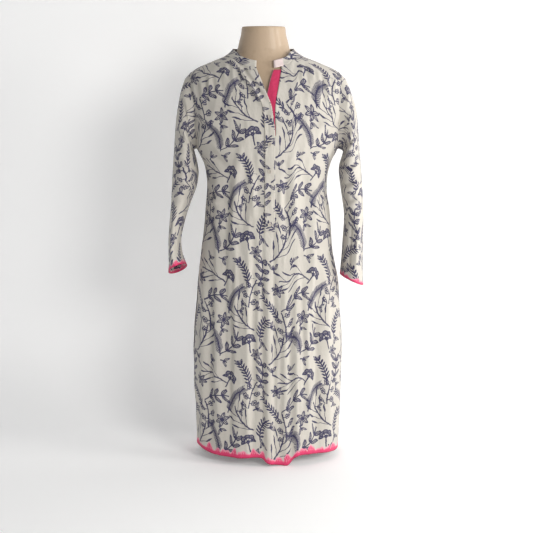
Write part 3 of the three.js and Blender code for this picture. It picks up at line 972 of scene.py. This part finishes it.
def grid_lengths(points, columns, rows):
    """Lengths along each row from its middle and up each column, in metres."""
    start = columns // 2
    lengths = {}
    for row in range(rows + 1):
        across = [0.0]
        for i in range(columns):
            across.append(across[-1] + (points[i + 1, row] - points[i, row]).length)
        for i in range(columns + 1):
            lengths[i, row] = [across[i] - across[start], 0.0]
    for i in range(columns + 1):
        up = 0.0
        for row in range(1, rows + 1):
            up += (points[i, row] - points[i, row - 1]).length
            lengths[i, row][1] = up
    return {cell: Vector(length) for cell, length in lengths.items()}


# %% Front
FRONT_ROWS = 260
FRONT_COLUMNS = 80             # on each side of the slit


def front_point(u, v):
    z = lerp(HEM_Z, NECK_TOP_ROW, v)
    right_side = u * (2 * FRONT_COLUMNS + 1) <= FRONT_COLUMNS
    if right_side:
        share = u * (2 * FRONT_COLUMNS + 1) / FRONT_COLUMNS
    else:
        share = (u * (2 * FRONT_COLUMNS + 1) - FRONT_COLUMNS - 1) / FRONT_COLUMNS
    angle = 0
    for _ in range(4 if z > NECK_BLEND_Z else 1):
        height = row_z(z, angle)
        slit = angle_at_x(column(FRONT_SLIT, "z", "open" if right_side else "edge", height), height)
        end = panel_end("front", height)
        angle = lerp(-end, slit, share) if right_side else lerp(slit, end, share)
    worn = torso_point(angle, row_z(z, angle), creases=FRONT_CREASES)
    return hang(part_sides(worn, angle, -1), -1)


slit_row = math.ceil((PLACKET_OPEN_Z - HEM_Z) / (NECK_TOP_ROW - HEM_Z) * FRONT_ROWS)
front = cloth_piece("front_cloth", 2 * FRONT_COLUMNS + 1, FRONT_ROWS, front_point, CLOTH,
                    hem=1, keep=lambda i, j: i != FRONT_COLUMNS or j < slit_row)
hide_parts("front")

# %% Back
BACK_ROWS = 230
BACK_COLUMNS = 140


def back_point(u, v):
    z = lerp(HEM_Z, NECK_TOP_ROW, v)
    turn = 0
    for _ in range(4 if z > NECK_BLEND_Z else 1):
        end = panel_end("back", row_z(z, math.pi + turn))
        turn = lerp(-end, end, u)
    angle = math.pi + turn
    return hang(part_sides(torso_point(angle, row_z(z, angle), creases=BACK_CREASES), angle, 1), 1)


back = cloth_piece("back_cloth", BACK_COLUMNS, BACK_ROWS, back_point, CLOTH,
                   hem=1, print_at=(90, 40))
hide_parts("back")


# %% Yokes
YOKE_OUT = 0.5                 # a yoke laps over the gathered edges of front and back
YOKE_LAP = 1.4


def yoke(side):
    start = panel_end("front", YOKE_Z)
    end = math.pi - panel_end("back", YOKE_Z)

    def armhole_z(angle):
        low, high = YOKE_Z, SHOULDER_Z
        for _ in range(24):
            z = (low + high) / 2
            depth = column(BODY, "z", "front" if angle < math.pi / 2 else "back", z)
            if depth * abs(math.cos(angle)) ** (2 / ROUNDNESS) < armhole_y(z):
                low = z
            else:
                high = z
        return (low + high) / 2

    def place(u, v):
        across = u if side > 0 else 1 - u
        angle = lerp(start, end, across)
        creases = FRONT_CREASES if angle < math.pi / 2 else BACK_CREASES
        z = lerp(armhole_z(angle), neck_z(angle), v)
        point = torso_point(side * angle, z, YOKE_OUT, creases)
        point.y += lerp(-YOKE_LAP, YOKE_LAP, across)
        return point

    return cloth_piece("yoke_left_cloth" if side > 0 else "yoke_right_cloth", 28, 44, place, CLOTH,
                       print_at=(60, 100) if side > 0 else (150, 20), topstitch=True)


for side, cad_name in ((1, "yoke_left"), (-1, "yoke_right")):
    piece = yoke(side)
    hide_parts(cad_name)

# %% Neckband
NECKBAND_HEIGHT = 16
NECKBAND_LAP = 1.2
LEAN_FRONT = 5
LEAN_SIDE = 17


def neckband_point(u, v):
    left_end, right_end = angle_at_x(17, 941), angle_at_x(-25, 941)
    angle = lerp(left_end, 2 * math.pi + right_end, u)
    low = 1 - smooth(0, 0.5, v)
    point = torso_point(angle, neck_z(angle) - NECKBAND_LAP * low, 0.6 * low)
    lean = lerp(LEAN_FRONT, LEAN_SIDE, math.sin(angle) ** 2) * v
    lean += 0.5 * perlin.noise(Vector((u * 30, v * 2, 5)))
    point.x -= lean * math.sin(angle)
    point.y += lean * math.cos(angle)
    point.z = neck_z(angle) - NECKBAND_LAP + (NECKBAND_HEIGHT + NECKBAND_LAP) * v
    return point


neckband = cloth_piece("neckband_cloth", 200, 10, neckband_point, BAND, print_at=(20, 140),
                       plain=lambda u, v: 1 - smooth(0.024, 0.03, u))
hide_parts("neckband")


# %% Placket bands
def band(name, rows, left, right, out, **looks):
    def place(u, v):
        z = lerp(PLACKET_BOTTOM_Z, PLACKET_TOP_Z, v)
        x = lerp(column(rows, "z", left, z), column(rows, "z", right, z), u)
        top = min(z, neck_z(angle_at_x(x, z)) - 1)
        return torso_point(angle_at_x(x, top), top, out, FRONT_CREASES)
    return cloth_piece(name, 14, 130, place, BAND, topstitch=True, **looks)


overlap = band("overlap_cloth", OVERLAP, "seam", "free", LAY + BAND, print_at=(0, 130))
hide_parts("placket_overlap")
underlap = band("underlap_cloth", UNDERLAP, "free", "seam", -CLOTH - LAY, material=pink)
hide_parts("placket_underlap")

# %% Sleeves
LEFT_SLEEVE = table("out_x out_z in_x in_z depth lift", """
187 916 181 748 50 0
199 888 186 742 55 0
212 848 186 734 60 0
218 800 180 720 62 0
223 738 175 702 62 0
229 678 178 666 60 0
232 630 184 628 58 0
234 582 189 588 58 0
233 530 187 540 60 0
233 474 184 490 63 0
236 418 180 444 66 4
""")
RIGHT_SLEEVE = table("out_x out_z in_x in_z depth lift", """
195 916 178 748 50 0
204 888 178 742 55 0
213 848 174 732 60 0
219 800 169 714 62 0
224 738 166 690 62 0
228 678 171 660 62 0
231 625 184 625 62 0
235 580 198 585 64 0
238 530 210 535 66 4
239 492 209 500 66 10
241 446 197 466 66 18
""")
LEFT_CREASES = table("x z to_x to_z width rise", """
30   885 100  840  8.0  3.0
24   866 96   806  8.0 -3.4
50   840 124  784  8.0  4.2
30   800 112  750  8.0 -3.8
60   770 136  730  7.0  3.6
16   740 90   706  8.0 -3.4
40   716 118  690  7.0  3.8
24   694 104  668  7.0 -3.6
50   672 130  652  7.0  4.0
16   652 96   632  7.0 -3.4
44   630 124  616  7.0  3.4
20   604 70   566  8.0 -3.0
60   600 66   450  9.0  3.6
92   584 96   440  8.0 -3.8
34   566 28   440  8.0 -3.0
118  600 122  470  9.0  3.0
8    560 4    450  7.0  2.6
-20  880 -90  820  9.0  3.4
-36  836 -110 780  9.0 -3.6
-20  760 -100 714  8.0  3.6
-40  700 -120 664  8.0 -3.6
-24  656 -110 636  8.0  3.6
-60  600 -66  460  9.0 -3.2
-100 600 -96  460  9.0  3.2
""")
RIGHT_CREASES = table("x z to_x to_z width rise", """
-26  890 -96  846  8.0  3.2
-40  862 -110 800  8.0 -3.6
-20  826 -100 770  8.0  3.8
-50  790 -130 740  8.0 -3.8
-24  752 -100 716  7.0  3.4
-44  722 -124 690  7.0 -3.4
-20  696 -96  674  7.0  3.6
-50  672 -126 648  7.0 -3.6
-28  648 -104 630  7.0  3.4
-56  620 -60  480  9.0  3.4
-86  600 -90  470  8.0 -3.8
-30  590 -26  470  8.0 -3.0
-112 600 -116 490  8.0  3.0
-4   570 -2   470  7.0  2.4
22   880 92   818  9.0  3.4
36   830 112  776  9.0 -3.6
20   756 100  712  8.0  3.4
40   702 118  666  8.0 -3.4
60   620 64   480  9.0 -3.0
98   600 94   480  9.0  3.0
""")
CUFF_BORDER = 1.7              # the printed border is this much lower at the cuffs
SIDE_SHARE = 0.35              # folds move the narrow sides less than front and back
TUCK_RING = 0.12               # the part of the cap that runs under the torso's edge


def sleeve(name, rows, side, creases):
    for i, row in enumerate(rows):
        row["at"] = i

    def armhole(turn, grow=1.0, out=0.5):
        z = (UNDERARM_Z + SHOULDER_Z) / 2 + (SHOULDER_Z - UNDERARM_Z) / 2 * math.cos(turn)
        y = -ARMHOLE_DEPTH * math.sin(turn)
        depth = column(BODY, "z", "front" if y < 0 else "back", z)
        share = (1 - (abs(y) / depth) ** ROUNDNESS) ** (1 / ROUNDNESS)
        x = column(BODY, "z", "half", z) * share + out
        middle = (UNDERARM_Z + SHOULDER_Z) / 2
        return Vector((column(BODY, "z", "centre", z) + side * x, y * grow,
                       middle + (z - middle) * grow))

    def ring(turn, at):
        value = {k: column(rows, "at", k, at)
                 for k in ("out_x", "out_z", "in_x", "in_z", "depth", "lift")}
        across = (1 + math.cos(turn)) / 2
        x = lerp(value["in_x"], value["out_x"], across)
        z = lerp(value["in_z"], value["out_z"], across) + value["lift"] * math.sin(turn)
        return Vector((side * x, -value["depth"] * math.sin(turn), z))

    def place(u, v):
        turn = (2 * math.pi * u + math.pi) * side
        at = v * len(rows) - 1
        if at < 0:
            share = at + 1
            if share < TUCK_RING:
                return armhole(turn, 1.03, -1.8).lerp(armhole(turn), share / TUCK_RING)
            return armhole(turn).lerp(ring(turn, 0), (share - TUCK_RING) / (1 - TUCK_RING))
        point = ring(turn, at)
        around = (u - 0.5) * 300
        push = CREASE_DEPTH * crease_rise(creases, around, point.z) + 1.8 * perlin.noise(
            Vector((math.cos(turn) * 1.4, math.sin(turn) * 1.4, point.z * 0.02 + 9 * side)))
        push *= smooth(0, 0.6, at)
        return point + Vector((side * math.cos(turn) * SIDE_SHARE, -math.sin(turn), 0)) * push

    def down(u, v):
        return place(u, 1 - v)

    return cloth_piece(name, 92, 160, down, CLOTH, closed=True, hem=CUFF_BORDER,
                       print_at=(130, 70) if side > 0 else (40, 190))


for name, rows, side, creases in (("sleeve_left", LEFT_SLEEVE, 1, LEFT_CREASES),
                                  ("sleeve_right", RIGHT_SLEEVE, -1, RIGHT_CREASES)):
    piece = sleeve(name + "_cloth", rows, side, creases)
    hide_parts(name)

# %% [markdown]
# ## Thread
# Sewn bands show a row of small stitches a couple of millimetres inside their edges, and the
# foot of the placket is held by a stitched box. Every stitch is one short drop of thread lying on
# the cloth, so each run is a chain of stretched balls along a line on the torso surface.

# %% Stitches
STITCH = 2.4
STITCH_GAP = 0.9
THREAD_RADIUS = 0.28


def thread_material(name, colour):
    material = Tree.start(name)
    place = node("TexCoord", output=3)
    darker = tuple(c * 0.8 for c in colour[:3]) + (1,)
    feed(Base_Color=mix(noise(place, 900, 1), darker, colour), Roughness=0.7)
    return material


def on_band(x, z, lift=0.1):
    return torso_point(angle_at_x(x, z), z, LAY + BAND + lift, FRONT_CREASES)


def stitch_line(bm, points):
    """Stitches laid end to end along a line of points."""
    travelled = 0.0
    start = points[0]
    for here, there in zip(points, points[1:]):
        travelled += (there - here).length
        if travelled >= STITCH:
            middle, run = (start + there) / 2, there - start
            turn = run.to_track_quat("X", "Y").to_matrix().to_4x4()
            size = Matrix.Diagonal((STITCH / 2, THREAD_RADIUS, THREAD_RADIUS, 1))
            spot = Matrix.Translation(SHIFT) @ Matrix.Scale(MM, 4) @ Matrix.Translation(middle)
            bmesh.ops.create_icosphere(bm, subdivisions=1, radius=1, matrix=spot @ turn @ size)
            travelled = -STITCH_GAP
        if travelled <= 0:
            start = there


def stitch_piece(name, lines, material):
    bm = bmesh.new()
    for line in lines:
        stitch_line(bm, line)
    mesh = bpy.data.meshes.new(name)
    bm.to_mesh(mesh)
    bm.free()
    mesh.shade_smooth()
    mesh.materials.append(material)
    piece = bpy.data.objects.new(name, mesh)
    bpy.context.collection.objects.link(piece)
    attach(piece, "root")
    print(name, len(mesh.polygons), "faces")
    return piece


def level_line(z, x_from, x_to, count=60):
    return [on_band(lerp(x_from, x_to, n / count), z) for n in range(count + 1)]


def upright_line(x, z_from, z_to, count=60):
    return [on_band(x, lerp(z_from, z_to, n / count)) for n in range(count + 1)]


BUTTON_X = 6.5
BUTTON_TOP_Z = 831
BUTTON_STEP = 63
BUTTON_COUNT = 5
BUTTON_HEIGHTS = [BUTTON_TOP_Z - BUTTON_STEP * n for n in range(BUTTON_COUNT)]
HOLE_HALF = 6.5                # half of a buttonhole's length
HOLE_SIDE = 0.7                # from its middle to each row of stitches
EDGE_INSET = 2.2
seams = []
for side, inset in (("seam", EDGE_INSET), ("free", -EDGE_INSET)):
    seams.append([on_band(column(OVERLAP, "z", side, z) + inset, z) for z in range(564, 928)])
cream_thread = thread_material("cream_thread", (0.66, 0.60, 0.50, 1))
stitch_piece("placket_stitches", seams, cream_thread)
holes = [upright_line(BUTTON_X + dx, z - HOLE_HALF, z + HOLE_HALF)
         for z in BUTTON_HEIGHTS for dx in (-HOLE_SIDE, HOLE_SIDE)]
stitch_piece("buttonhole_stitches", holes, thread_material("hole_thread", (0.42, 0.38, 0.36, 1)))
box = [level_line(565, -3.5, 15.5), level_line(581, -3.5, 15.5),
       upright_line(-3.5, 565, 581), upright_line(15.5, 565, 581)]
indigo_thread = thread_material("indigo_thread", (0.05, 0.045, 0.10, 1))
stitch_piece("placket_box_stitches", box, indigo_thread)

# %% [markdown]
# ## Turned pieces
# Buttons, pole and base are round, so each is a profile of radius and height turned about an
# axis: a flat grid whose columns go round and whose rows follow the profile. A button is dished
# in the middle, with four holes painted near black as painted shade, and a cross of thread.

# %% Turn a profile
def turned_piece(name, profile, place, material, sides=64):
    bm = bmesh.new()
    disc = bm.loops.layers.uv.new("disc")
    rows = len(profile) - 1
    bmesh.ops.create_grid(bm, x_segments=sides, y_segments=rows, size=0.5)
    local = {}
    for vert in bm.verts:
        turn = 2 * math.pi * (vert.co.x + 0.5)
        radius, height = profile[round((vert.co.y + 0.5) * rows)]
        local[vert] = Vector((radius * math.cos(turn), radius * math.sin(turn), height)) * MM
        vert.co = place @ local[vert]
    for face in bm.faces:
        for loop in face.loops:
            loop[disc].uv = local[loop.vert].xy
    bmesh.ops.remove_doubles(bm, verts=bm.verts, dist=0.000001)
    mesh = bpy.data.meshes.new(name)
    bm.to_mesh(mesh)
    bm.free()
    mesh.shade_smooth()
    mesh.materials.append(material)
    piece = bpy.data.objects.new(name, mesh)
    bpy.context.collection.objects.link(piece)
    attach(piece, "root")
    return piece


# %% Buttons
BUTTON_PROFILE = [(0, 0), (3.9, 0), (4.4, 0.25), (4.6, 0.8), (4.55, 1.3), (4.2, 1.7), (3.7, 1.8),
                  (3.1, 1.55), (2.6, 1.3), (1.4, 1.2), (0, 1.2)]
HOLE_APART = 0.95


def shell_material():
    material = Tree.start("smoky_shell")
    disc = node("VectorMath", {"operation": "SCALE"},
                _0=node("UVMap", {"uv_map": "disc"}), Scale=1000)
    x, y = parts_of(disc)
    cloudy = noise(disc, 0.5, 3)
    # The holes are not cut: each is a spot painted near black, painted shade standing in for the
    # depth of a hole.
    painted_hole_shade = clear(far(abs(x) - HOLE_APART, abs(y) - HOLE_APART) - 0.5, 0.15)
    colour = mix(cloudy, (0.36, 0.31, 0.26, 1), (0.74, 0.69, 0.61, 1))
    feed(Base_Color=mix(painted_hole_shade, colour, (0.02, 0.018, 0.016, 1)), Roughness=cloudy * 0.2 + 0.18)
    return material


shell = shell_material()
thread_bm = bmesh.new()
for number, z in enumerate(BUTTON_HEIGHTS, 1):
    seat = on_band(BUTTON_X, z, 0.35)
    right = (on_band(BUTTON_X + 4, z) - on_band(BUTTON_X - 4, z)).normalized()
    up = (on_band(BUTTON_X, z + 4) - on_band(BUTTON_X, z - 4)).normalized()
    out = right.cross(up).normalized()
    turn = Matrix((right, out.cross(right), out)).transposed().to_4x4()
    place = Matrix.Translation(seat * MM + SHIFT) @ turn
    piece = turned_piece(f"shirt_button_{number}", BUTTON_PROFILE, place, shell, 32)
    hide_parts(f"button_{number}")
    for lean in (45, -45):
        lie = Matrix.Translation((0, 0, 1.3 * MM)) @ Matrix.Rotation(math.radians(lean), 4, "Z")
        size = Matrix.Diagonal((1.5 * MM, 0.26 * MM, 0.3 * MM, 1))
        bmesh.ops.create_icosphere(thread_bm, subdivisions=2, radius=1, matrix=place @ lie @ size)
thread_mesh = bpy.data.meshes.new("button_threads")
thread_bm.to_mesh(thread_mesh)
thread_mesh.shade_smooth()
thread_mesh.materials.append(cream_thread)
threads = bpy.data.objects.new("button_threads", thread_mesh)
bpy.context.collection.objects.link(threads)
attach(threads, "root")
print(len(BUTTON_HEIGHTS), "buttons")

# %% [markdown]
# ## The dress form and its stand
# The form is a smooth hollow torso with a painted, slightly mottled skin. It is lofted through
# its own table of ovals, with softly rounded ends, and it stays clear of the cloth all over. The
# stand below it is plain dark steel.

# %% Dress form
FORM = table("z centre half front back", """
330   1 162  103 106
430   1 160  103 110
505   1 147   97 101
582   0 128   86  86
640   0 122   86  80
716   0 134  100  88
780  -1 146  108  92
860  -2 158   98  92
900  -3 164   86  86
918  -4 163   78  79
930  -5 158   72  73
943  -6 140   66  67
955  -7 113   61  63
966  -8  86   58  60
976  -8  68   56  58
987  -8  62   54  56
1003 -8  58   53  54
1018 -8  54   52  52
1038 -8 51.5  51  51
""")
FORM_FOOT = [(330, 0), (330, 0.5), (330, 0.95), (331.5, 0.985), (335, 1)]
FORM_NECK = [(1034, 1), (1036.6, 0.992), (1037.7, 0.975), (1038, 0.95), (1038, 0.5), (1038, 0)]
FORM_LEVELS = FORM_FOOT + [(z, 1) for z in range(341, 1031, 6)] + FORM_NECK


def form_point(turn, level):
    z, share = FORM_LEVELS[level]
    depth = column(FORM, "z", "front" if math.cos(turn) > 0 else "back", z)
    x = column(FORM, "z", "half", z) * power(math.sin(turn), 2 / ROUNDNESS)
    y = -depth * power(math.cos(turn), 2 / ROUNDNESS)
    return Vector((column(FORM, "z", "centre", z) + x * share, y * share, z)) * MM + SHIFT


def form_material():
    material = Tree.start("form_paint")
    place = node("TexCoord", output=3)
    mottled = noise(place, 14, 4)
    colour = mix(mottled, (0.47, 0.345, 0.232, 1), (0.55, 0.418, 0.294, 1))
    colour = mix(clear(noise(place, 60, 3) - 0.38, 0.1) * 0.25, colour, (0.40, 0.29, 0.19, 1))
    feed(Base_Color=colour, Roughness=mottled * 0.15 + 0.45, Coat_Weight=0.12)
    feed(Normal=node("Bump", Strength=0.2, Distance=0.001, Height=noise(place, 240, 2)))
    return material


form_bm = bmesh.new()
form_sides, form_rows = 96, len(FORM_LEVELS) - 1
bmesh.ops.create_grid(form_bm, x_segments=form_sides, y_segments=form_rows, size=0.5)
for vert in form_bm.verts:
    vert.co = form_point(2 * math.pi * (vert.co.x + 0.5), round((vert.co.y + 0.5) * form_rows))
bmesh.ops.remove_doubles(form_bm, verts=form_bm.verts, dist=0.000001)
form_mesh = bpy.data.meshes.new("dress_form")
form_bm.to_mesh(form_mesh)
form_mesh.shade_smooth()
form_mesh.materials.append(form_material())
form = bpy.data.objects.new("dress_form", form_mesh)
bpy.context.collection.objects.link(form)
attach(form, "root")
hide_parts("form_torso")
print("dress form", len(form_mesh.polygons), "faces")


# %% Stand
def steel_material():
    material = Tree.start("painted_steel")
    place = node("TexCoord", output=3)
    feed(Base_Color=(0.03, 0.03, 0.033, 1), Metallic=0.8,
         Roughness=noise(place, 40, 3) * 0.3 + 0.25)
    return material


steel = steel_material()
stand_place = Matrix.Translation((SHIFT.x, SHIFT.y + STAND_Y * MM, 0))
base = turned_piece("stand_base", [(0, 0), (69.5, 0), (70, 0.6), (70, 5), (69.4, 6.6), (68, 7.6),
                                   (65, 8), (0, 8)], stand_place, steel, 96)
pole = turned_piece("stand_pole", [(0, 8.4), (16, 8.4), (16, 170), (16, 340.6), (0, 340.6)],
                    stand_place, steel, 48)
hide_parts("form_base")
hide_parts("form_pole")
